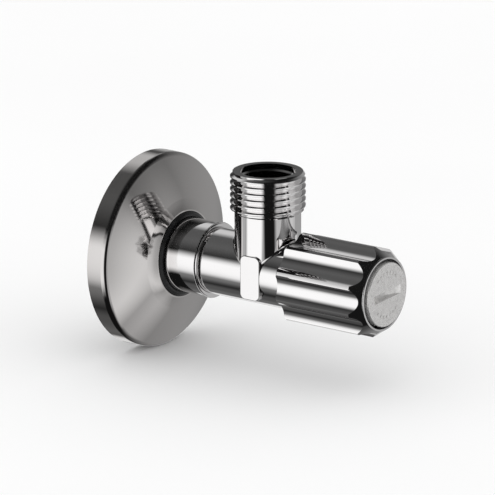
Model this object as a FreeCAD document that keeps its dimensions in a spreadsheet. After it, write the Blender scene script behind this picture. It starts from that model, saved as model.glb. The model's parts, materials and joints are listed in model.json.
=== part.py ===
import FreeCAD
import Part
import Sketcher
import math
import os
import re

# Angle stop valve with a filter in its spindle, in millimetres.
# +X runs along the inlet and handle axis, away from the wall. +Z runs along the outlet. The
# origin is on the inlet axis in the plane of the wall, where the rosette's rim rests.
# The valve is shown closed, with the rosette against the wall.

Vector = FreeCAD.Vector
Rotation = FreeCAD.Rotation

# ---------------------------------------------------------------- driving dimensions
SIZES = {
    # pipe thread, G 1/2, on the inlet and on the outlet
    "thread_radius": 10.4775,
    "thread_root": 9.3155,
    "thread_pitch": 1.814,
    "thread_end_radius": 9.75,
    "thread_end_chamfer": 1.0,
    # valve body, along X
    "inlet_length": 11.5,
    "relief_start": 2.5,
    "relief_end": 4.7,
    "relief_radius": 9.15,
    "tube_radius": 10.5,
    "tube_chamfer": 0.4,
    "bead_start": 23.75,
    "bead_radius": 10.75,
    "bead_width": 0.45,
    "bead_edge": 0.15,
    "step_gap": 0.2,
    "step_groove_radius": 9.6,
    "step_width": 0.3,
    "step_radius": 10.35,
    "barrel_groove_radius": 8.95,
    "barrel_start": 25.2,
    "barrel_round": 0.5,
    "barrel_radius": 9.45,
    "body_front": 54.5,
    "front_edge": 0.5,
    # water way
    "inlet_bore": 7.0,
    "inlet_bore_end": 12.0,
    "seat_back": 13.6,
    "seat_bore": 4.6,
    "seat_wall_front": 16.0,
    "seat_lip": 17.0,
    "seat_lip_radius": 5.3,
    "seat_lip_foot": 6.2,
    "chamber_radius": 7.45,
    "socket_start": 49.0,
    "socket_radius": 8.3,
    "counterbore_start": 52.9,
    "counterbore_radius": 8.85,
    # outlet, along Z
    "outlet_axis": 41.84,
    "outlet_top": 28.6,
    "outlet_tube": 9.25,
    "outlet_cone_start": 17.0,
    "thread_run_out": 1.1,
    "outlet_bore": 7.3,
    "outlet_mouth": 7.8,
    "outlet_mouth_end": 27.0,
    "outlet_mouth_cone": 0.4,
    "outlet_root_fillet": 0.8,
    # blank raised pad on the side of the body
    "pad_centre": 42.6,
    "pad_width": 6.5,
    "pad_height": 12.5,
    "pad_face": 9.62,
    "pad_depth": 5.0,
    "pad_corner": 1.6,
    "pad_edge": 0.25,
    # rosette, a pressed shell
    "rosette_radius": 27.75,
    "rosette_wall": 0.7,
    "rim_straight": 4.7,
    "rim_round": 2.0,
    "rim_round_inside": 1.3,
    "face_edge": 6.47,
    "face_edge_radius": 26.69,
    "face_bulge": 108.0,
    "inner_edge": 5.85,
    "inner_edge_radius": 26.36,
    "flare_foot": 11.65,
    "flare_foot_radius": 15.5,
    "flare_back": 10.88,
    "flare_bend": 20.0,
    "lip_start": 13.13,
    "lip_start_radius": 12.6,
    "lip_round": 0.48,
    "lip_end": 12.72,
    "neck_inside": 11.87,
    "neck_back": 11.95,
    # sliding grip ring in the rosette's neck
    "grip_bore": 10.55,
    "grip_outer": 11.82,
    "grip_back": 10.1,
    "grip_flange_front": 11.5,
    "grip_flange": 12.6,
    "grip_snap_back": 12.9,
    "grip_snap": 12.0,
    "grip_snap_start": 13.1,
    "grip_snap_end": 13.25,
    "grip_front": 13.8,
    "grip_front_radius": 11.3,
    "grip_bevel": 0.2,
    # bonnet
    "bonnet_back": 49.1,
    "bonnet_shank": 8.2,
    "bonnet_groove_start": 53.1,
    "bonnet_groove": 7.2,
    "bonnet_flange_back": 54.55,
    "bonnet_flange_front": 55.6,
    "bonnet_flange": 9.4,
    "hex_front": 60.4,
    "hex_flats": 16.4,
    "bonnet_sleeve": 8.0,
    "bonnet_front": 68.6,
    "bonnet_lip_back": 67.6,
    "bonnet_lip": 6.05,
    "seal_bore": 6.95,
    "seal_bore_end": 58.0,
    "bonnet_thread_bore": 6.85,
    # spindle
    "spindle_back": 21.3,
    "spindle_wall_front": 23.3,
    "stem_hole": 2.05,
    "spindle_radius": 6.4,
    "spindle_edge": 0.4,
    "land_back": 27.3,
    "land_front": 30.5,
    "land_radius": 7.2,
    "divider_groove": 5.95,
    "divider_groove_back": 28.15,
    "divider_groove_front": 29.65,
    "seal_land_back": 49.3,
    "seal_land_front": 53.3,
    "seal_land": 6.88,
    "seal_groove": 5.75,
    "seal_groove_back": 49.75,
    "seal_groove_width": 1.3,
    "seal_groove_step": 1.9,
    "spindle_thread_radius": 6.77,
    "spindle_thread_root": 5.9,
    "spindle_thread_pitch": 1.5,
    "spindle_thread_back": 53.3,
    "spindle_thread_front": 63.0,
    "spindle_thread_bevel": 0.8,
    "neck_spindle_radius": 5.85,
    "spindle_front": 79.4,
    "spindle_bore": 4.9,
    "plug_bore": 5.05,
    "plug_bore_back": 70.0,
    "inflow_back": 23.7,
    "inflow_front": 26.9,
    "inflow_width": 2.6,
    "outflow_back": 32.0,
    "outflow_front": 46.0,
    "outflow_width": 2.8,
    "spline_back": 69.6,
    "spline_front": 76.0,
    "spline_depth": 0.35,
    "spline_width": 1.2,
    "spline_gap": 0.05,
    # valve disc
    "washer_back": 17.05,
    "washer_front": 19.3,
    "washer_radius": 6.0,
    "screw_bore": 1.52,
    "screw_bore_front": 22.6,
    "holder_rim_back": 18.2,
    "holder_front": 21.0,
    "holder_radius": 6.7,
    "holder_rim_bore": 6.05,
    "stem_radius": 2.0,
    "stem_front": 24.7,
    "clip_groove_back": 23.35,
    "clip_groove_front": 24.1,
    "clip_groove": 1.55,
    "clip_bore": 1.6,
    "clip_outer": 3.5,
    "clip_back": 23.42,
    "clip_front": 24.02,
    "clip_mouth_half": 1.2,
    "screw_head_back": 15.7,
    "screw_head": 2.7,
    "screw_radius": 1.5,
    "screw_front": 22.4,
    "screw_slot_depth": 0.6,
    "screw_slot_half": 0.35,
    "screw_head_round": 0.5,
    # handle
    "handle_back": 53.2,
    "handle_radius": 12.77,
    "handle_back_edge": 0.5,
    "handle_cone_back": 77.9,
    "handle_front": 81.5,
    "handle_cone_end": 10.42,
    "handle_lip_edge": 0.3,
    "handle_lip_inner_edge": 0.15,
    "handle_lip_bore": 9.75,
    "handle_recess_back": 76.5,
    "handle_skirt_bore": 10.0,
    "handle_web_back": 69.1,
    "handle_hub_bore": 7.9,
    "flute_radius": 5.6,
    "flute_floor": 11.05,
    # parts in the handle
    "insert_back": 69.3,
    "insert_front": 76.4,
    "insert_bore": 5.87,
    "insert_outer": 7.85,
    "lock_ring_back": 76.55,
    "lock_ring_front": 78.6,
    "lock_ring_bore": 5.9,
    "lock_ring_outer": 9.65,
    "lock_notch_half": 0.8,
    "lock_notch_depth": 0.9,
    # filter
    "filter_back": 27.4,
    "filter_ring_front": 30.0,
    "filter_ring_outer": 4.82,
    "filter_groove": 3.85,
    "filter_groove_back": 28.1,
    "filter_groove_front": 29.1,
    "filter_bore": 3.3,
    "mesh_back": 30.1,
    "mesh_front": 45.4,
    "mesh_inner": 4.15,
    "mesh_outer": 4.35,
    "cage_outer": 4.1,
    "cage_slot_half": 2.1,
    "cage_slot_back": 30.8,
    "cage_slot_front": 44.6,
    "filter_cap_back": 45.5,
    "filter_cap_front": 47.5,
    "filter_cap": 4.6,
    "collar_bore": 2.68,
    "collar_outer": 4.2,
    "collar_front": 52.6,
    "collar_groove_back": 48.6,
    "collar_groove_front": 50.2,
    "collar_groove": 3.5,
    # plug with the slotted cover disc
    "disc_radius": 9.0,
    "disc_back": 80.3,
    "disc_front": 82.35,
    "disc_edge": 0.3,
    "disc_boss": 7.0,
    "disc_boss_back": 79.6,
    "plug_shank": 4.97,
    "plug_shank_back": 70.6,
    "plug_groove_back": 71.3,
    "plug_groove_front": 72.5,
    "plug_groove": 3.95,
    "plug_stem": 2.6,
    "plug_tip_back": 48.75,
    "plug_tip_middle": 49.1,
    "plug_tip_front": 50.05,
    "plug_tip": 3.42,
    "coin_cutter": 15.45,
    "coin_slot_width": 2.4,
    "coin_slot_depth": 1.3,
    "coin_slot_tilt": 3.5,
    "dot_circle": 6.2,
    "dot_radius": 0.4,
    "dot_height": 0.15,
    # rubber rings: place along X, radius of the centre line and of the section
    "bonnet_ring_place": 53.82,
    "divider_ring_place": 28.9,
    "spindle_ring_place": 50.4,
    "filter_ring_place": 28.6,
    "plug_ring_place": 71.9,
    "bonnet_ring": 8.0,
    "bonnet_ring_section": 0.7,
    "divider_ring": 6.68,
    "divider_ring_section": 0.7,
    "spindle_ring": 6.33,
    "spindle_ring_section": 0.56,
    "filter_ring": 4.36,
    "filter_ring_section": 0.47,
    "plug_ring": 4.48,
    "plug_ring_section": 0.5,
}

FLUTES = 10
SPLINES = 12
THREAD_ARCS = 12
ROOT_FLAT = 1 / 6  # flat at a thread groove's root, as a share of the pitch
GROOVE_OUTSIDE = 0.2  # how far a groove's section reaches past the crest
FULL_TURN = 360
DOTS = 4
DOT_SPREAD = 42

doc = FreeCAD.newDocument("angle_stop_valve")
sheet = doc.addObject("Spreadsheet::Sheet", "dims")
for row, (alias, number) in enumerate(SIZES.items(), start=1):
    sheet.set(f"A{row}", alias)
    sheet.set(f"B{row}", str(number))
    sheet.setAlias(f"B{row}", alias)
doc.recompute()

names = {alias: "dims." + alias for alias in SIZES}


# ---------------------------------------------------------------- helpers
def value(formula):
    """The number that a sum of sheet names and plain numbers stands for."""
    total = 0.0
    for sign, word in re.findall(r"([+-]?)([a-z_]+|[0-9.]+)", formula.replace(" ", "")):
        number = SIZES[word] if word in SIZES else float(word)
        total += -number if sign == "-" else number
    return total


def cells(formula):
    """The same sum as an expression on the sheet's cells."""
    return re.sub(r"[a-z_]+", lambda found: names.get(found.group(0), found.group(0)), formula)


def draw_circle(sketch, across, up, radius):
    """One circle, its centre and radius bound to sums of sheet cells."""
    centre = Vector(value(across), value(up), 0)
    circle = sketch.addGeometry(Part.Circle(centre, Vector(0, 0, 1), value(radius)))
    fix_point(sketch, circle, 3, across, up)
    index = sketch.addConstraint(Sketcher.Constraint("Radius", circle, value(radius)))
    sketch.setExpression(f"Constraints[{index}]", cells(radius))


def origin_item(body, role):
    for item in body.Origin.OriginFeatures:
        if item.Role == role:
            return item


def new_sketch(body, name, plane):
    sketch = body.newObject("Sketcher::SketchObject", name)
    sketch.AttachmentSupport = [(origin_item(body, plane), "")]
    sketch.MapMode = "FlatFace"
    return sketch


def fix_point(sketch, geometry, end, across, up):
    """Bind one point of a sketch to two sums of sheet cells."""
    for kind, axis, formula in (("DistanceX", -2, across), ("DistanceY", -1, up)):
        if formula == "0":
            sketch.addConstraint(Sketcher.Constraint("PointOnObject", geometry, end, axis))
            continue
        number = value(formula)
        index = sketch.addConstraint(Sketcher.Constraint(kind, -1, 1, geometry, end, number))
        sketch.setExpression(f"Constraints[{index}]", cells(formula))


def draw_outline(sketch, outline):
    """A closed outline of straight edges, where a third entry bends the edge after that point to an
    arc of that radius, to the left of its way along the outline, or to the right with a minus sign."""
    points = [Vector(value(item[0]), value(item[1]), 0) for item in outline]
    ends = []
    for i, item in enumerate(outline):
        start = points[i]
        finish = points[(i + 1) % len(points)]
        if len(item) == 2:
            ends.append((sketch.addGeometry(Part.LineSegment(start, finish)), 1, 2))
            continue
        radius = abs(value(item[2]))
        side = -1 if item[2].startswith("-") else 1
        along = finish - start
        left = Vector(-along.y, along.x, 0).normalize()
        bulge = radius - math.sqrt(radius**2 - along.Length**2 / 4)
        middle = (start + finish) * 0.5 + left * (side * bulge)
        edge = sketch.addGeometry(Part.Arc(start, middle, finish))
        near_start = (sketch.getPoint(edge, 1) - start).Length < (sketch.getPoint(edge, 2) - start).Length
        ends.append((edge, 1, 2) if near_start else (edge, 2, 1))
        index = sketch.addConstraint(Sketcher.Constraint("Radius", edge, radius))
        sketch.setExpression(f"Constraints[{index}]", cells(item[2].lstrip("-")))
    for i, (edge, start_end, finish_end) in enumerate(ends):
        after, after_start, _ = ends[(i + 1) % len(ends)]
        sketch.addConstraint(Sketcher.Constraint("Coincident", edge, finish_end, after, after_start))
        fix_point(sketch, edge, start_end, outline[i][0], outline[i][1])


def turned(name, outline, around="X"):
    """A body turned from an outline of (along, radius) points about X, or (radius, along) about Z."""
    body = doc.addObject("PartDesign::Body", name)
    body.Label = name
    plane, axis = ("XY_Plane", "H_Axis") if around == "X" else ("XZ_Plane", "V_Axis")
    sketch = new_sketch(body, name + "_outline", plane)
    draw_outline(sketch, outline)
    turn = body.newObject("PartDesign::Revolution", name + "_turned")
    turn.Profile = sketch
    turn.ReferenceAxis = (sketch, [axis])
    turn.Angle = FULL_TURN
    turn.Refine = False
    doc.recompute()
    return body


def rectangle(sketch, left, right, bottom, top):
    draw_outline(sketch, [(left, bottom), (right, bottom), (right, top), (left, top)])


def cut_through(body, name, plane, left, right, bottom, top):
    """Cut a rectangle drawn on a middle plane right through the body, both ways."""
    sketch = new_sketch(body, name + "_outline", plane)
    rectangle(sketch, left, right, bottom, top)
    pocket = body.newObject("PartDesign::Pocket", name)
    pocket.Profile = sketch
    pocket.Type = "ThroughAll"
    pocket.Midplane = True
    pocket.Refine = False
    doc.recompute()
    return pocket


def repeat_around(body, name, feature, count, angle=FULL_TURN, axis="X_Axis"):
    pattern = body.newObject("PartDesign::PolarPattern", name)
    pattern.Originals = [feature]
    pattern.Axis = (origin_item(body, axis), [""])
    pattern.Angle = angle
    pattern.Occurrences = count
    pattern.Refine = False
    body.Tip = pattern
    doc.recompute()
    return pattern


def ring(name, along, centre_radius, section):
    """A rubber ring of round section about X."""
    torus = doc.addObject("Part::Torus", name)
    torus.Label = name
    torus.Placement = FreeCAD.Placement(Vector(0, 0, 0), Rotation(Vector(0, 1, 0), 90))
    torus.setExpression("Radius1", cells(centre_radius))
    torus.setExpression("Radius2", cells(section))
    torus.setExpression("Placement.Base.x", cells(along))
    return torus


def cut(name, base, tools):
    """The base less the tools, one after the other."""
    for number, tool in enumerate(tools, start=1):
        last = number == len(tools)
        result = doc.addObject("Part::Cut", name if last else f"{name}_cut{number}")
        result.Base = base
        result.Tool = tool
        result.Refine = False
        base = result
    base.Label = name
    return base


def bevel_end(body, name, radius, end, bevel, outward):
    """Cone the end of a bar along Z: bevel is the end's radius and the cone's length."""
    end_radius, length = bevel
    back, beyond = ("-" + length, "+1") if outward else ("+" + length, "-1")
    sketch = new_sketch(body, name + "_outline", "XZ_Plane")
    corners = [(end_radius, end), (radius, end + back), (radius + "+1", end + back)]
    draw_outline(sketch, corners + [(radius + "+1", end + beyond), (end_radius, end + beyond)])
    groove = body.newObject("PartDesign::Groove", name)
    groove.Profile = sketch
    groove.ReferenceAxis = (sketch, ["V_Axis"])
    groove.Angle = FULL_TURN
    groove.Refine = False
    doc.recompute()


def threaded_bar(name, radius, root, pitch, back, front, back_bevel, front_bevel):
    """A bar along Z with a right-hand helical thread of 55 degrees, which runs out past both coned
    ends. The bar's round is drawn as equal arcs."""
    body = doc.addObject("PartDesign::Body", name)
    body.Label = name
    circle = new_sketch(body, name + "_circle", "XY_Plane")
    step = 2 * math.pi / THREAD_ARCS
    for i in range(THREAD_ARCS):
        full = Part.Circle(Vector(0, 0, 0), Vector(0, 0, 1), value(radius))
        circle.addGeometry(Part.ArcOfCircle(full, i * step, (i + 1) * step))
        circle.addConstraint(Sketcher.Constraint("Coincident", i, 3, -1, 1))
        if i:
            circle.addConstraint(Sketcher.Constraint("Coincident", i - 1, 2, i, 1))
    index = circle.addConstraint(Sketcher.Constraint("Radius", 0, value(radius)))
    circle.setExpression(f"Constraints[{index}]", cells(radius))
    circle.setExpression("AttachmentOffset.Base.z", cells(back))
    bar = body.newObject("PartDesign::Pad", name + "_bar")
    bar.Profile = circle
    bar.setExpression("Length", cells(front + "-(" + back + ")"))
    bar.Refine = False
    doc.recompute()
    bevel_end(body, name + "_back_bevel", radius, back, back_bevel, False)
    bevel_end(body, name + "_front_bevel", radius, front, front_bevel, True)
    # the groove's section: narrow at the root, almost as wide as the pitch outside the crest
    half_root = value(pitch) * ROOT_FLAT / 2
    half_crest = value(pitch) / 2 - half_root
    slope = (half_crest - half_root) / (value(radius) - value(root))
    half_outside = half_crest + slope * GROOVE_OUTSIDE
    start = value(back) - half_outside
    section = [
        Vector(value(root), start - half_root, 0),
        Vector(value(root), start + half_root, 0),
        Vector(value(radius) + GROOVE_OUTSIDE, start + half_outside, 0),
        Vector(value(radius) + GROOVE_OUTSIDE, start - half_outside, 0),
    ]
    groove = new_sketch(body, name + "_groove_outline", "XZ_Plane")
    for i, corner in enumerate(section):
        groove.addGeometry(Part.LineSegment(corner, section[(i + 1) % len(section)]))
    for i in range(len(section)):
        groove.addConstraint(Sketcher.Constraint("Coincident", i, 2, (i + 1) % len(section), 1))
    thread = body.newObject("PartDesign::SubtractiveHelix", name + "_groove")
    thread.Profile = groove
    thread.ReferenceAxis = (groove, ["V_Axis"])
    thread.Mode = 0
    thread.setExpression("Pitch", cells(pitch))
    thread.Height = value(front) - value(back) + 2 * half_outside
    thread.Refine = False
    doc.recompute()
    return body


def fuse(name, shapes):
    result = doc.addObject("Part::MultiFuse", name)
    result.Shapes = shapes
    result.Refine = False
    result.Label = name
    doc.recompute()
    return result


def soften(name, base, radius, edges):
    """Round the numbered edges of a boolean result."""
    result = doc.addObject("Part::Fillet", name)
    result.Base = base
    result.Edges = [(number, value(radius), value(radius)) for number in edges]
    doc.recompute()
    return result


def flat_faces_first(name, base):
    """The same solid with its flat faces listed first, the largest of them at the head. Whether a
    point is inside is tested by a line to the first face, which a large flat face makes reliable."""
    result = doc.addObject("Part::Feature", name)
    faces = sorted(
        base.Shape.Solids[0].Faces,
        key=lambda face: -face.Area if isinstance(face.Surface, Part.Plane) else 0,
    )
    result.Shape = Part.Solid(Part.Shell(faces))
    result.Label = name
    return result


# ---------------------------------------------------------------- valve body
def make_valve_body():
    inlet_thread = threaded_bar(
        "inlet_thread_bar", "thread_radius", "thread_root", "thread_pitch",
        "0", "inlet_length+relief_start",
        ("relief_radius", "thread_run_out"), ("thread_end_radius", "thread_end_chamfer"),
    )
    inlet_thread.Placement = FreeCAD.Placement(Vector(0, 0, 0), Rotation(Vector(0, 1, 0), -90))
    inlet_thread.setExpression("Placement.Base.x", cells("relief_start"))

    outlet_thread = threaded_bar(
        "outlet_thread_bar", "thread_radius", "thread_root", "thread_pitch",
        "outlet_cone_start", "outlet_top",
        ("outlet_tube", "thread_run_out"), ("thread_end_radius", "thread_end_chamfer"),
    )
    outlet_thread.setExpression("Placement.Base.x", cells("outlet_axis"))

    barrel = turned("barrel", [
        ("relief_start", "0"), ("relief_start", "relief_radius"),
        ("relief_end-tube_chamfer", "relief_radius"), ("relief_end", "relief_radius+tube_chamfer"),
        ("relief_end", "tube_radius-tube_chamfer"), ("relief_end+tube_chamfer", "tube_radius"),
        ("bead_start", "tube_radius"), ("bead_start+bead_edge", "bead_radius"),
        ("bead_start+bead_width-bead_edge", "bead_radius", "bead_edge"),
        ("bead_start+bead_width", "bead_radius-bead_edge"),
        ("bead_start+bead_width", "step_groove_radius"),
        ("bead_start+bead_width+step_gap", "step_groove_radius"),
        ("bead_start+bead_width+step_gap", "step_radius"),
        ("bead_start+bead_width+step_gap+step_width", "step_radius"),
        ("bead_start+bead_width+step_gap+step_width", "barrel_groove_radius"),
        ("barrel_start", "barrel_groove_radius", "barrel_round"),
        ("barrel_start+barrel_round", "barrel_radius"),
        ("body_front-front_edge", "barrel_radius"), ("body_front", "barrel_radius-front_edge"),
        ("body_front", "0"),
    ])
    outlet_tube = turned("outlet_tube_bar", [
        ("0", "0"), ("outlet_tube", "0"), ("outlet_tube", "outlet_cone_start"), ("0", "outlet_cone_start"),
    ], around="Z")
    outlet_tube.setExpression("Placement.Base.x", cells("outlet_axis"))
    tee = fuse("tee", [barrel, outlet_tube])
    joint_edges = [
        number for number, edge in enumerate(tee.Shape.Edges, start=1)
        if not isinstance(edge.Curve, (Part.Circle, Part.Line)) and edge.BoundBox.ZMin > 0
    ]
    tee = soften("tee_softened", tee, "outlet_root_fillet", joint_edges)

    pad = doc.addObject("Part::Box", "pad_block")
    for side, size in (("Length", "pad_width"), ("Width", "pad_depth"), ("Height", "pad_height")):
        pad.setExpression(side, cells(size))
    pad.setExpression("Placement.Base.x", cells("pad_centre-pad_width/2"))
    pad.setExpression("Placement.Base.y", cells("-pad_face"))
    pad.setExpression("Placement.Base.z", cells("-pad_height/2"))
    doc.recompute()
    corners = [
        number for number, edge in enumerate(pad.Shape.Edges, start=1)
        if edge.BoundBox.YLength > value("pad_depth") / 2
    ]
    pad = soften("pad_corners", pad, "pad_corner", corners)
    rim = [
        number for number, edge in enumerate(pad.Shape.Edges, start=1)
        if edge.BoundBox.YMax < value("-pad_face+pad_edge")
    ]
    pad = soften("pad_softened", pad, "pad_edge", rim)

    inlet_way = turned("inlet_way", [
        ("-inlet_length-1", "0"), ("-inlet_length-1", "inlet_bore"), ("inlet_bore_end", "inlet_bore"),
        ("seat_back", "seat_bore"), ("seat_lip", "seat_bore"), ("seat_lip", "seat_lip_radius"),
        ("seat_wall_front", "seat_lip_foot"), ("seat_wall_front", "chamber_radius"),
        ("socket_start", "chamber_radius"), ("socket_start", "socket_radius"),
        ("counterbore_start", "socket_radius"), ("counterbore_start", "counterbore_radius"),
        ("body_front+1", "counterbore_radius"), ("body_front+1", "0"),
    ])
    outlet_way = turned("outlet_way", [
        ("0", "0"), ("outlet_bore", "0"), ("outlet_bore", "outlet_mouth_end-outlet_mouth_cone"),
        ("outlet_mouth", "outlet_mouth_end"), ("outlet_mouth", "outlet_top+1"), ("0", "outlet_top+1"),
    ], around="Z")
    outlet_way.setExpression("Placement.Base.x", cells("outlet_axis"))
    outside = fuse("body_outside", [tee, pad, inlet_thread, outlet_thread])
    hollowed = cut("hollowed_body", outside, [inlet_way, outlet_way])
    doc.recompute()
    return flat_faces_first("valve_body", hollowed)


# ---------------------------------------------------------------- rosette
def make_rosette():
    return turned("rosette", [
        ("0", "rosette_radius-rosette_wall"), ("0", "rosette_radius"),
        ("rim_straight", "rosette_radius", "rim_round"),
        ("face_edge", "face_edge_radius", "face_bulge"),
        ("flare_foot", "flare_foot_radius", "-flare_bend"),
        ("lip_start", "lip_start_radius", "lip_round"),
        ("lip_end", "neck_inside"), ("neck_back", "neck_inside"),
        ("flare_back", "flare_foot_radius", "-face_bulge"),
        ("inner_edge", "inner_edge_radius", "-rim_round_inside"),
        ("rim_straight", "rosette_radius-rosette_wall"),
    ])


def make_grip_ring():
    return turned("rosette_grip_ring", [
        ("grip_back", "grip_bore"), ("grip_back", "grip_flange"), ("grip_flange_front", "grip_flange"),
        ("grip_flange_front", "grip_outer"), ("grip_snap_back", "grip_outer"),
        ("grip_snap_start", "grip_snap"), ("grip_snap_end", "grip_snap"),
        ("grip_front", "grip_front_radius"), ("grip_front", "grip_bore+grip_bevel"),
        ("grip_front-grip_bevel", "grip_bore"),
    ])


# ---------------------------------------------------------------- bonnet
def make_bonnet():
    core = turned("bonnet_core", [
        ("bonnet_back", "0"), ("bonnet_back", "bonnet_shank"), ("bonnet_groove_start", "bonnet_shank"),
        ("bonnet_groove_start", "bonnet_groove"), ("bonnet_flange_back", "bonnet_groove"),
        ("bonnet_flange_back", "bonnet_flange"), ("bonnet_flange_front", "bonnet_flange"),
        ("bonnet_flange_front", "bonnet_sleeve"), ("bonnet_front", "bonnet_sleeve"),
        ("bonnet_front", "0"),
    ])
    hexagon = doc.addObject("Part::Prism", "bonnet_hexagon")
    hexagon.Polygon = 6
    hexagon.Placement = FreeCAD.Placement(Vector(0, 0, 0), Rotation(Vector(0, 1, 0), 90))
    hexagon.setExpression("Circumradius", cells("hex_flats / 2 / cos(30 deg)"))
    hexagon.setExpression("Height", cells("hex_front-bonnet_flange_front"))
    hexagon.setExpression("Placement.Base.x", cells("bonnet_flange_front"))
    way = turned("bonnet_way", [
        ("bonnet_back-1", "0"), ("bonnet_back-1", "seal_bore"), ("seal_bore_end", "seal_bore"),
        ("seal_bore_end", "bonnet_thread_bore"), ("bonnet_lip_back", "bonnet_thread_bore"),
        ("bonnet_lip_back", "bonnet_lip"), ("bonnet_front+1", "bonnet_lip"), ("bonnet_front+1", "0"),
    ])
    return cut("bonnet", fuse("bonnet_outside", [core, hexagon]), [way])


# ---------------------------------------------------------------- spindle
def make_spindle():
    grooves = []
    for number in range(2):
        back = "seal_groove_back" + "+seal_groove_step" * number
        front = back + "+seal_groove_width"
        grooves += [(back, "seal_land"), (back, "seal_groove"), (front, "seal_groove"), (front, "seal_land")]
    core = turned("spindle_core", [
        ("spindle_back", "0"), ("spindle_back", "spindle_radius-spindle_edge"),
        ("spindle_back+spindle_edge", "spindle_radius"), ("land_back", "spindle_radius"),
        ("land_back", "land_radius"), ("divider_groove_back", "land_radius"),
        ("divider_groove_back", "divider_groove"), ("divider_groove_front", "divider_groove"),
        ("divider_groove_front", "land_radius"), ("land_front", "land_radius"),
        ("land_front", "spindle_radius"), ("seal_land_back", "spindle_radius"),
        ("seal_land_back", "seal_land"), *grooves, ("seal_land_front", "seal_land"),
        ("seal_land_front", "neck_spindle_radius"),
        ("spindle_front-spindle_edge", "neck_spindle_radius"),
        ("spindle_front", "neck_spindle_radius-spindle_edge"), ("spindle_front", "0"),
    ])
    for name, back, front, width in (
        ("inflow_windows", "inflow_back", "inflow_front", "inflow_width"),
        ("outflow_windows", "outflow_back", "outflow_front", "outflow_width"),
    ):
        window = cut_through(core, name, "XY_Plane", back, front, "-" + width, width)
        repeat_around(core, name + "_all", window, 2, angle=90)
    sketch = new_sketch(core, "spline_outline", "XZ_Plane")
    rectangle(sketch, "spline_back", "spline_front", "neck_spindle_radius-spline_depth",
              "neck_spindle_radius+1")
    spline = core.newObject("PartDesign::Pocket", "spline")
    spline.Profile = sketch
    spline.Midplane = True
    spline.setExpression("Length", cells("spline_width"))
    spline.Refine = False
    doc.recompute()
    repeat_around(core, "splines", spline, SPLINES)
    thread = threaded_bar(
        "spindle_thread_bar", "spindle_thread_radius", "spindle_thread_root", "spindle_thread_pitch",
        "0", "spindle_thread_front-spindle_thread_back",
        ("spindle_thread_root", "spindle_thread_bevel"), ("spindle_thread_root", "spindle_thread_bevel"),
    )
    thread.Placement = FreeCAD.Placement(Vector(0, 0, 0), Rotation(Vector(0, 1, 0), 90))
    thread.setExpression("Placement.Base.x", cells("spindle_thread_back"))
    way = turned("spindle_way", [
        ("spindle_back-1", "0"), ("spindle_back-1", "stem_hole"), ("spindle_wall_front", "stem_hole"),
        ("spindle_wall_front", "spindle_bore"), ("plug_bore_back", "spindle_bore"),
        ("plug_bore_back", "plug_bore"), ("spindle_front+1", "plug_bore"), ("spindle_front+1", "0"),
    ])
    return cut("spindle", fuse("spindle_outside", [core, thread]), [way])


# ---------------------------------------------------------------- valve disc
def make_washer_holder():
    return turned("washer_holder", [
        ("washer_front", "screw_bore"), ("washer_front", "holder_rim_bore"),
        ("holder_rim_back", "holder_rim_bore"), ("holder_rim_back", "holder_radius"),
        ("holder_front", "holder_radius"), ("holder_front", "stem_radius"),
        ("clip_groove_back", "stem_radius"), ("clip_groove_back", "clip_groove"),
        ("clip_groove_front", "clip_groove"), ("clip_groove_front", "stem_radius"),
        ("stem_front", "stem_radius"), ("stem_front", "0"), ("screw_bore_front", "0"),
        ("screw_bore_front", "screw_bore"),
    ])


def make_seat_washer():
    return turned("seat_washer", [
        ("washer_back", "screw_bore"), ("washer_back", "washer_radius"),
        ("washer_front", "washer_radius"), ("washer_front", "screw_bore"),
    ])


def make_washer_screw():
    screw = turned("washer_screw", [
        ("screw_head_back", "0"), ("screw_head_back", "screw_head-screw_head_round", "screw_head_round"),
        ("screw_head_back+screw_head_round", "screw_head"), ("washer_back", "screw_head"),
        ("washer_back", "screw_radius"), ("screw_front", "screw_radius"), ("screw_front", "0"),
    ])
    cut_through(screw, "screw_slot", "XY_Plane", "screw_head_back-1", "screw_head_back+screw_slot_depth",
                "-screw_slot_half", "screw_slot_half")
    return screw


def make_stem_clip():
    clip = turned("stem_clip", [
        ("clip_back", "clip_bore"), ("clip_back", "clip_outer"), ("clip_front", "clip_outer"),
        ("clip_front", "clip_bore"),
    ])
    sketch = new_sketch(clip, "clip_mouth_outline", "YZ_Plane")
    rectangle(sketch, "-clip_mouth_half", "clip_mouth_half", "-clip_outer-1", "0")
    mouth = clip.newObject("PartDesign::Pocket", "clip_mouth")
    mouth.Profile = sketch
    mouth.Type = "ThroughAll"
    mouth.Midplane = True
    mouth.Refine = False
    doc.recompute()
    return clip


# ---------------------------------------------------------------- handle
def make_handle():
    handle = turned("handle", [
        ("handle_back", "handle_skirt_bore"), ("handle_back", "handle_radius-handle_back_edge"),
        ("handle_back+handle_back_edge", "handle_radius"), ("handle_cone_back", "handle_radius"),
        ("handle_front-handle_lip_edge", "handle_cone_end", "handle_lip_edge"),
        ("handle_front", "handle_cone_end-handle_lip_edge"),
        ("handle_front", "handle_lip_bore+handle_lip_inner_edge", "handle_lip_inner_edge"),
        ("handle_front-handle_lip_inner_edge", "handle_lip_bore"),
        ("handle_recess_back", "handle_lip_bore"), ("handle_recess_back", "handle_hub_bore"),
        ("handle_web_back", "handle_hub_bore"), ("handle_web_back", "handle_skirt_bore"),
    ])
    sketch = new_sketch(handle, "flute_outline", "YZ_Plane")
    draw_circle(sketch, "0", "flute_floor+flute_radius", "flute_radius")
    flute = handle.newObject("PartDesign::Pocket", "flute")
    flute.Profile = sketch
    flute.Type = "ThroughAll"
    flute.Midplane = True
    flute.Refine = False
    doc.recompute()
    repeat_around(handle, "flutes", flute, FLUTES)
    # a ridge, not a flute, is at the top
    handle.Placement = FreeCAD.Placement(Vector(0, 0, 0), Rotation(Vector(1, 0, 0), FULL_TURN / FLUTES / 2))
    return handle


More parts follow.
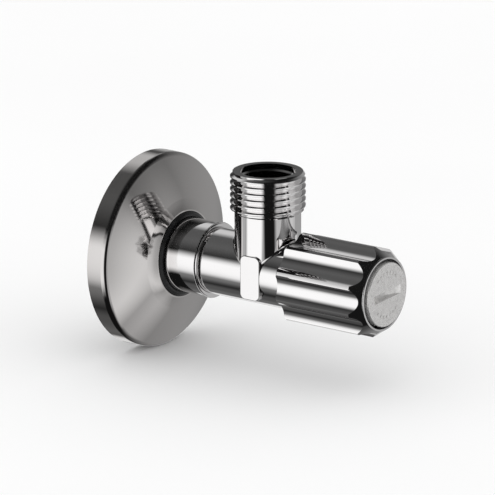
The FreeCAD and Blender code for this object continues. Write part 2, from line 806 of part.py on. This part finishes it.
def make_handle_insert():
    insert = turned("handle_insert", [
        ("insert_back", "insert_bore"), ("insert_back", "insert_outer"),
        ("insert_front", "insert_outer"), ("insert_front", "insert_bore"),
    ])
    sketch = new_sketch(insert, "insert_rib_outline", "XZ_Plane")
    rectangle(sketch, "spline_back+spline_gap", "spline_front-spline_gap",
              "insert_bore-spline_depth+spline_gap", "insert_bore+spline_gap")
    rib = insert.newObject("PartDesign::Pad", "insert_rib")
    rib.Profile = sketch
    rib.Midplane = True
    rib.setExpression("Length", cells("spline_width-spline_gap*2"))
    rib.Refine = False
    doc.recompute()
    repeat_around(insert, "insert_ribs", rib, SPLINES)
    return insert


def make_lock_ring():
    lock = turned("handle_lock_ring", [
        ("lock_ring_back", "lock_ring_bore"), ("lock_ring_back", "lock_ring_outer"),
        ("lock_ring_front", "lock_ring_outer"), ("lock_ring_front", "lock_ring_bore"),
    ])
    sketch = new_sketch(lock, "lock_notch_outline", "XY_Plane")
    rectangle(sketch, "lock_ring_front-lock_notch_depth", "lock_ring_front+1",
              "-lock_notch_half", "lock_notch_half")
    notch = lock.newObject("PartDesign::Pocket", "lock_notch")
    notch.Profile = sketch
    notch.Type = "ThroughAll"
    notch.Midplane = True
    notch.Refine = False
    doc.recompute()
    repeat_around(lock, "lock_notches", notch, 2, angle=90)
    return lock


# ---------------------------------------------------------------- filter
def make_filter_frame():
    frame = turned("filter_frame", [
        ("filter_back", "filter_bore"), ("filter_back", "filter_ring_outer"),
        ("filter_groove_back", "filter_ring_outer"), ("filter_groove_back", "filter_groove"),
        ("filter_groove_front", "filter_groove"), ("filter_groove_front", "filter_ring_outer"),
        ("filter_ring_front", "filter_ring_outer"), ("filter_ring_front", "cage_outer"),
        ("filter_cap_back", "cage_outer"), ("filter_cap_back", "filter_cap"),
        ("filter_cap_front", "filter_cap"), ("filter_cap_front", "collar_outer"),
        ("collar_front", "collar_outer"), ("collar_front", "collar_bore"),
        ("collar_groove_front", "collar_bore"), ("collar_groove_front", "collar_groove"),
        ("collar_groove_back", "collar_groove"), ("collar_groove_back", "collar_bore"),
        ("filter_cap_front", "collar_bore"), ("filter_cap_front", "0"),
        ("filter_cap_back", "0"), ("filter_cap_back", "filter_bore"),
    ])
    slot = cut_through(frame, "cage_slot", "XY_Plane", "cage_slot_back", "cage_slot_front",
                       "-cage_slot_half", "cage_slot_half")
    repeat_around(frame, "cage_slots", slot, 2, angle=90)
    return frame


def make_filter_mesh():
    return turned("filter_mesh", [
        ("mesh_back", "mesh_inner"), ("mesh_back", "mesh_outer"),
        ("mesh_front", "mesh_outer"), ("mesh_front", "mesh_inner"),
    ])


# ---------------------------------------------------------------- plug
def make_filter_plug():
    core = turned("plug_core", [
        ("plug_tip_back", "0"), ("plug_tip_back", "plug_stem"), ("plug_tip_middle", "plug_tip"),
        ("plug_tip_front", "plug_tip"), ("plug_tip_front", "plug_stem"),
        ("plug_shank_back", "plug_stem"), ("plug_shank_back", "plug_shank"),
        ("plug_groove_back", "plug_shank"), ("plug_groove_back", "plug_groove"),
        ("plug_groove_front", "plug_groove"), ("plug_groove_front", "plug_shank"),
        ("disc_boss_back", "plug_shank"), ("disc_boss_back", "disc_boss"),
        ("disc_back", "disc_boss"), ("disc_back", "disc_radius"),
        ("disc_front-disc_edge", "disc_radius", "disc_edge"),
        ("disc_front", "disc_radius-disc_edge"), ("disc_front", "0"),
    ])
    for name, side in (("upper_dots", 1), ("lower_dots", -1)):
        sketch = new_sketch(core, name + "_outline", "YZ_Plane")
        draw_circle(sketch, "0", "dot_circle" if side > 0 else "-dot_circle", "dot_radius")
        sketch.setExpression("AttachmentOffset.Base.z", cells("disc_front-dot_height"))
        dot = core.newObject("PartDesign::Pad", name + "_first")
        dot.Profile = sketch
        dot.setExpression("Length", cells("dot_height*2"))
        dot.Refine = False
        doc.recompute()
        for direction in (False, True):
            row = core.newObject("PartDesign::PolarPattern", f"{name}_{'right' if direction else 'left'}")
            row.Originals = [dot]
            row.Axis = (origin_item(core, "X_Axis"), [""])
            row.Reversed = direction
            row.Angle = DOT_SPREAD
            row.Occurrences = DOTS
            row.Refine = False
            core.Tip = row
            doc.recompute()
    cutter = doc.addObject("Part::Cylinder", "coin_slot_cutter")
    cutter.setExpression("Radius", cells("coin_cutter"))
    cutter.setExpression("Height", cells("coin_slot_width"))
    turn = Rotation(Vector(1, 0, 0), value("coin_slot_tilt"))
    across = turn.multVec(Vector(0, 0, -value("coin_slot_width") / 2))
    centre = value("disc_front-coin_slot_depth+coin_cutter")
    cutter.Placement = FreeCAD.Placement(Vector(centre, across.y, across.z), turn)
    return cut("filter_plug", core, [cutter])


# ---------------------------------------------------------------- the assembly
SUBPARTS = [
    make_valve_body(),
    make_bonnet(),
    ring("bonnet_o_ring", "bonnet_ring_place", "bonnet_ring", "bonnet_ring_section"),
    make_grip_ring(),
    make_rosette(),
    make_washer_holder(),
    make_seat_washer(),
    make_washer_screw(),
    make_stem_clip(),
    make_spindle(),
    ring("divider_o_ring", "divider_ring_place", "divider_ring", "divider_ring_section"),
    ring("spindle_o_ring_inner", "spindle_ring_place", "spindle_ring", "spindle_ring_section"),
    ring("spindle_o_ring_outer", "spindle_ring_place+seal_groove_step",
         "spindle_ring", "spindle_ring_section"),
    make_handle(),
    make_handle_insert(),
    make_lock_ring(),
    make_filter_frame(),
    make_filter_mesh(),
    ring("filter_o_ring", "filter_ring_place", "filter_ring", "filter_ring_section"),
    make_filter_plug(),
    ring("plug_o_ring", "plug_ring_place", "plug_ring", "plug_ring_section"),
]
doc.recompute()

for item in doc.Objects:
    if "Invalid" in item.State or "Error" in item.State:
        raise RuntimeError(f"{item.Name} did not compute: {item.State}")
for item in SUBPARTS:
    if item.Shape.isNull() or not item.Shape.isValid() or len(item.Shape.Solids) != 1:
        raise RuntimeError(f"{item.Label} is not one valid solid")

os.makedirs("parts", exist_ok=True)
for item in SUBPARTS:
    item.Shape.exportStep(f"parts/{item.Label}.step")
    print(f"{item.Label}: {item.Shape.Volume:.1f} mm3")
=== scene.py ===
import json
import math

import bpy
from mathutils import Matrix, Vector


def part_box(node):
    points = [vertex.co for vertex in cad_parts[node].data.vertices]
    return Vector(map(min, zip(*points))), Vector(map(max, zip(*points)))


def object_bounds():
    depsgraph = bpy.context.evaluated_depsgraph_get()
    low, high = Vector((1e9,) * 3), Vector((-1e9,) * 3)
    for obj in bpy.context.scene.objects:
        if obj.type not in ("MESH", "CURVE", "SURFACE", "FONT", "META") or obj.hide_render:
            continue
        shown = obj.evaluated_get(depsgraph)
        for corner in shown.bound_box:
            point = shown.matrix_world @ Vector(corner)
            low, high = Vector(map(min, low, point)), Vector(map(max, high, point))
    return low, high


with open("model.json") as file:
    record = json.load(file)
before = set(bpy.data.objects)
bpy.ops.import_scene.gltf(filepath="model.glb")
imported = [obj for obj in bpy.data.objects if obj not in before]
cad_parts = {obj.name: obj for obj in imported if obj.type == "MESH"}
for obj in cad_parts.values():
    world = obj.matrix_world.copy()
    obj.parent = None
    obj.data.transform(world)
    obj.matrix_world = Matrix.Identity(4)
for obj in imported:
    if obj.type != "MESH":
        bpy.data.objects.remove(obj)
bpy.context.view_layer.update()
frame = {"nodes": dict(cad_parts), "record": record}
NODES = frame["nodes"]
MM = 0.001

# the plug's blasted face ends this far behind its front, and its polish starts a little further back
BLASTED_DEPTH = 0.14 * MM
POLISHED_DEPTH = 0.18 * MM
SLOT_POLISH = 0.16
FLOOR_SIZE = 40
FLOOR_GAP = 0.2 * MM


# ---------------------------------------------------------------- node helpers
def new_material(name, color, metallic, roughness):
    material = bpy.data.materials.new(name)
    material.use_nodes = True
    shader = material.node_tree.nodes["Principled BSDF"]
    shader.inputs["Base Color"].default_value = (*color, 1)
    shader.inputs["Metallic"].default_value = metallic
    shader.inputs["Roughness"].default_value = roughness
    return material, material.node_tree, shader


def node(tree, kind, **values):
    made = tree.nodes.new(kind)
    for key, value in values.items():
        if key in made.inputs:
            made.inputs[key].default_value = value
        else:
            setattr(made, key, value)
    return made


def object_point(tree, scale):
    """Object coordinates in metres, scaled."""
    place = tree.nodes.new("ShaderNodeTexCoord")
    mapping = node(tree, "ShaderNodeMapping", Scale=scale)
    tree.links.new(place.outputs["Object"], mapping.inputs["Vector"])
    return mapping.outputs["Vector"]


def noise(tree, scale, detail, stretch=(1, 1, 1)):
    texture = node(tree, "ShaderNodeTexNoise", Scale=scale, Detail=detail, Roughness=0.5)
    tree.links.new(object_point(tree, stretch), texture.inputs["Vector"])
    return texture.outputs["Fac"]


def ramp(tree, source, stops):
    """A colour ramp of (position, grey or colour) stops."""
    made = tree.nodes.new("ShaderNodeValToRGB")
    elements = made.color_ramp.elements
    while len(elements) < len(stops):
        elements.new(0.5)
    for element, (position, color) in zip(elements, stops):
        element.position = position
        element.color = (*color, 1) if isinstance(color, tuple) else (color, color, color, 1)
    tree.links.new(source, made.inputs["Fac"])
    return made.outputs["Color"]


def bump(tree, shader, height, strength, distance):
    """Tilt the shader's normal by a height, over a distance in metres."""
    made = node(tree, "ShaderNodeBump", Strength=strength, Distance=distance)
    tree.links.new(height, made.inputs["Height"])
    tree.links.new(made.outputs["Normal"], shader.inputs["Normal"])


# ---------------------------------------------------------------- materials
def make_chrome(name, dark, light, smooth, dull):
    """Chrome plating between two tints, with a roughness between smooth and dull."""
    material, tree, shader = new_material(name, light, 1.0, smooth)
    tree.links.new(
        ramp(tree, noise(tree, 90, 4), [(0.3, smooth), (0.75, dull)]), shader.inputs["Roughness"]
    )
    tree.links.new(
        ramp(tree, noise(tree, 25, 2), [(0.3, dark), (0.7, light)]), shader.inputs["Base Color"]
    )
    bump(tree, shader, noise(tree, 120, 1), 0.02, 0.0002)
    return material


def make_satin():
    """Blasted nickel, with a brighter polish in the coin slot and round the disc's edge."""
    material, tree, shader = new_material("satin_nickel", (0.62, 0.60, 0.59), 0.75, 0.34)
    place = tree.nodes.new("ShaderNodeTexCoord")
    axes = tree.nodes.new("ShaderNodeSeparateXYZ")
    tree.links.new(place.outputs["Object"], axes.inputs["Vector"])
    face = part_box("filter_plug")[1].x
    blasted = tree.nodes.new("ShaderNodeMapRange")
    blasted.inputs["From Min"].default_value = face - POLISHED_DEPTH
    blasted.inputs["From Max"].default_value = face - BLASTED_DEPTH
    tree.links.new(axes.outputs["X"], blasted.inputs["Value"])
    grain = ramp(tree, noise(tree, 2500, 6), [(0.3, 0.26), (0.7, 0.44)])
    mix = tree.nodes.new("ShaderNodeMix")
    mix.data_type = "FLOAT"
    mix.inputs["A"].default_value = SLOT_POLISH
    tree.links.new(blasted.outputs["Result"], mix.inputs["Factor"])
    tree.links.new(grain, mix.inputs["B"])
    tree.links.new(mix.outputs["Result"], shader.inputs["Roughness"])
    tree.links.new(
        ramp(tree, noise(tree, 900, 5), [(0.3, (0.78, 0.77, 0.76)), (0.7, (0.95, 0.94, 0.93))]),
        shader.inputs["Base Color"],
    )
    bump(tree, shader, noise(tree, 3000, 4), 0.6, 0.00005)
    return material


def make_brass():
    material, tree, shader = new_material("raw_brass", (0.78, 0.58, 0.28), 1.0, 0.25)
    lines = noise(tree, 60, 3, (60, 1, 1))
    tree.links.new(ramp(tree, lines, [(0.3, 0.18), (0.7, 0.36)]), shader.inputs["Roughness"])
    tree.links.new(
        ramp(tree, noise(tree, 220, 4), [(0.3, (0.68, 0.47, 0.20)), (0.7, (0.84, 0.65, 0.33))]),
        shader.inputs["Base Color"],
    )
    bump(tree, shader, lines, 0.15, 0.00005)
    return material


def make_steel():
    material, tree, shader = new_material("stainless_steel", (0.6, 0.6, 0.6), 1.0, 0.3)
    lines = noise(tree, 80, 3, (40, 1, 1))
    tree.links.new(ramp(tree, lines, [(0.3, 0.22), (0.7, 0.38)]), shader.inputs["Roughness"])
    tree.links.new(
        ramp(tree, noise(tree, 200, 3), [(0.3, (0.52, 0.53, 0.54)), (0.7, (0.68, 0.68, 0.68))]),
        shader.inputs["Base Color"],
    )
    return material


def make_rubber():
    material, tree, shader = new_material("black_rubber", (0.02, 0.02, 0.02), 0.0, 0.6)
    grain = noise(tree, 1800, 4)
    tree.links.new(ramp(tree, grain, [(0.3, 0.5), (0.7, 0.75)]), shader.inputs["Roughness"])
    tree.links.new(
        ramp(tree, noise(tree, 300, 3), [(0.3, 0.012), (0.7, 0.03)]), shader.inputs["Base Color"]
    )
    bump(tree, shader, grain, 0.3, 0.00003)
    return material


def make_plastic(name, dark, light, smooth, dull):
    material, tree, shader = new_material(name, dark, 0.0, smooth)
    grain = noise(tree, 2600, 3)
    tree.links.new(ramp(tree, grain, [(0.3, smooth), (0.7, dull)]), shader.inputs["Roughness"])
    tree.links.new(
        ramp(tree, noise(tree, 260, 3), [(0.3, dark), (0.7, light)]), shader.inputs["Base Color"]
    )
    bump(tree, shader, grain, 0.2, 0.00002)
    return material


MATERIALS = {
    "chrome_plated_brass": make_chrome("chrome", (0.90, 0.89, 0.89), (0.95, 0.94, 0.94), 0.02, 0.06),
    "satin_nickel": make_satin(),
    "raw_brass": make_brass(),
    "stainless_steel": make_steel(),
    "black_rubber": make_rubber(),
    "black_plastic": make_plastic(
        "black_plastic", (0.004, 0.004, 0.004), (0.010, 0.010, 0.011), 0.16, 0.24
    ),
    "white_plastic": make_plastic("white_plastic", (0.72, 0.72, 0.68), (0.82, 0.82, 0.79), 0.32, 0.5),
}

for part in frame["record"]["subparts"]:
    item = NODES[part["node"]]
    item.data.materials.clear()
    item.data.materials.append(MATERIALS[part["material_slot"]])

# the rosette is pressed sheet, not polished as far as the body, so it is rougher; its darker tint is
# painted shade that dims its reflections
NODES["rosette"].data.materials[0] = make_chrome(
    "chrome_sheet_painted_shade", (0.66, 0.64, 0.63), (0.72, 0.70, 0.69), 0.05, 0.085
)


# ---------------------------------------------------------------- stage
def make_floor():
    low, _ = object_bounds()
    bpy.ops.mesh.primitive_plane_add(size=FLOOR_SIZE, location=(0, 0, low[2] - FLOOR_GAP))
    floor = bpy.context.object
    floor.name = "floor"
    material, tree, shader = new_material("floor_paper", (0.95, 0.95, 0.95), 0.0, 0.9)
    tree.links.new(
        ramp(tree, noise(tree, 6, 2), [(0.3, 0.94), (0.7, 0.96)]), shader.inputs["Base Color"]
    )
    floor.data.materials.append(material)
    floor.visible_glossy = False


# Each soft light: azimuth and elevation of its middle (azimuth from +X towards +Y), half
# width, half height, blur of its sides and blur of its top and bottom, all in degrees, and its
# brightness. The room is nearly black between them, which gives polished edges their dark line.
SOFTBOXES = {
    "key": (-102, -10, 31, 26, 16, 24, 1.02),
    "key_spill": (-150, -12, 20, 25, 26, 38, 0.42),
    "front_right": (-16, -18, 12, 30, 14, 26, 0.50),
    "right": (8, -22, 16, 34, 40, 50, 0.86),
    "right_side": (36, -22, 26, 40, 60, 60, 0.60),
    "right_fill": (76, -20, 44, 46, 66, 60, 0.34),
    "back": (118, -14, 10, 22, 12, 20, 0.60),
    "high_back": (142, 34, 20, 14, 18, 18, 0.60),
    "low_back": (134, -33, 9, 10, 10, 14, 0.80),
    "low_left": (168, -46, 30, 10, 30, 16, 0.14),
    "overhead": (-176, 48, 62, 20, 70, 44, 0.10),
}
ROOM_DARK = 0.008
PAPER_WHITE = 1.06


def math_node(tree, operation, first, second=None):
    made = tree.nodes.new("ShaderNodeMath")
    made.operation = operation
    for socket, value in zip(made.inputs, (first, second)):
        if value is None:
            continue
        if isinstance(value, bpy.types.NodeSocket):
            tree.links.new(value, socket)
        else:
            socket.default_value = value
    return made.outputs[0]


def falloff(tree, angle, half, blur):
    """1 inside half degrees, 0 outside, with a smooth edge blur degrees wide."""
    made = tree.nodes.new("ShaderNodeMapRange")
    made.interpolation_type = "SMOOTHSTEP"
    made.inputs["From Min"].default_value = math.radians(half - blur / 2)
    made.inputs["From Max"].default_value = math.radians(half + blur / 2)
    made.inputs["To Min"].default_value = 1
    made.inputs["To Max"].default_value = 0
    tree.links.new(angle, made.inputs["Value"])
    return made.outputs["Result"]


def softbox(tree, direction, light):
    """Brightness of one soft light, as listed in SOFTBOXES, in a direction of the sky."""
    azimuth, elevation, half_width, half_height, side_blur, top_blur, brightness = light
    turned = tree.nodes.new("ShaderNodeVectorRotate")
    turned.rotation_type = "Z_AXIS"
    turned.inputs["Angle"].default_value = math.radians(-azimuth)
    tree.links.new(direction, turned.inputs["Vector"])
    axes = tree.nodes.new("ShaderNodeSeparateXYZ")
    tree.links.new(turned.outputs["Vector"], axes.inputs["Vector"])
    across = math_node(tree, "ABSOLUTE", math_node(tree, "ARCTAN2", axes.outputs["Y"], axes.outputs["X"]))
    height = math_node(tree, "ARCSINE", axes.outputs["Z"])
    above = math_node(tree, "ABSOLUTE", math_node(tree, "SUBTRACT", height, math.radians(elevation)))
    inside = math_node(
        tree, "MULTIPLY",
        falloff(tree, across, half_width, side_blur), falloff(tree, above, half_height, top_blur),
    )
    return math_node(tree, "MULTIPLY", inside, brightness)


def make_world():
    """White paper all round for matt things, and a dark room with soft lights for polished ones."""
    world = bpy.data.worlds.new("studio")
    bpy.context.scene.world = world
    world.use_nodes = True
    tree = world.node_tree
    direction = tree.nodes.new("ShaderNodeTexCoord").outputs["Generated"]
    light = ROOM_DARK
    for values in SOFTBOXES.values():
        light = math_node(tree, "MAXIMUM", softbox(tree, direction, values), light)
    rays = tree.nodes.new("ShaderNodeLightPath")
    mix = tree.nodes.new("ShaderNodeMix")
    mix.data_type = "FLOAT"
    tree.links.new(rays.outputs["Is Glossy Ray"], mix.inputs["Factor"])
    mix.inputs["A"].default_value = PAPER_WHITE
    tree.links.new(light, mix.inputs["B"])
    background = tree.nodes["Background"]
    background.inputs["Color"].default_value = (1, 1, 1, 1)
    tree.links.new(mix.outputs["Result"], background.inputs["Strength"])


def make_camera():
    azimuth = math.radians(36.5)
    elevation = math.radians(15.8)
    distance = 1.5
    aim = Vector((34.4, 0.6, 5.2)) * MM  # near the tee, at the middle of the picture
    away = Vector((
        math.sin(azimuth) * math.cos(elevation),
        -math.cos(azimuth) * math.cos(elevation),
        math.sin(elevation),
    ))
    data = bpy.data.cameras.new("camera")
    data.lens = 393
    data.sensor_width = 36
    data.clip_start = 0.01
    data.clip_end = 100
    camera = bpy.data.objects.new("camera", data)
    bpy.context.scene.collection.objects.link(camera)
    camera.location = aim + away * distance
    camera.rotation_euler = (-away).to_track_quat("-Z", "Y").to_euler()
    bpy.context.scene.camera = camera


make_floor()
make_world()
make_camera()

bpy.context.scene.view_settings.view_transform = "Standard"
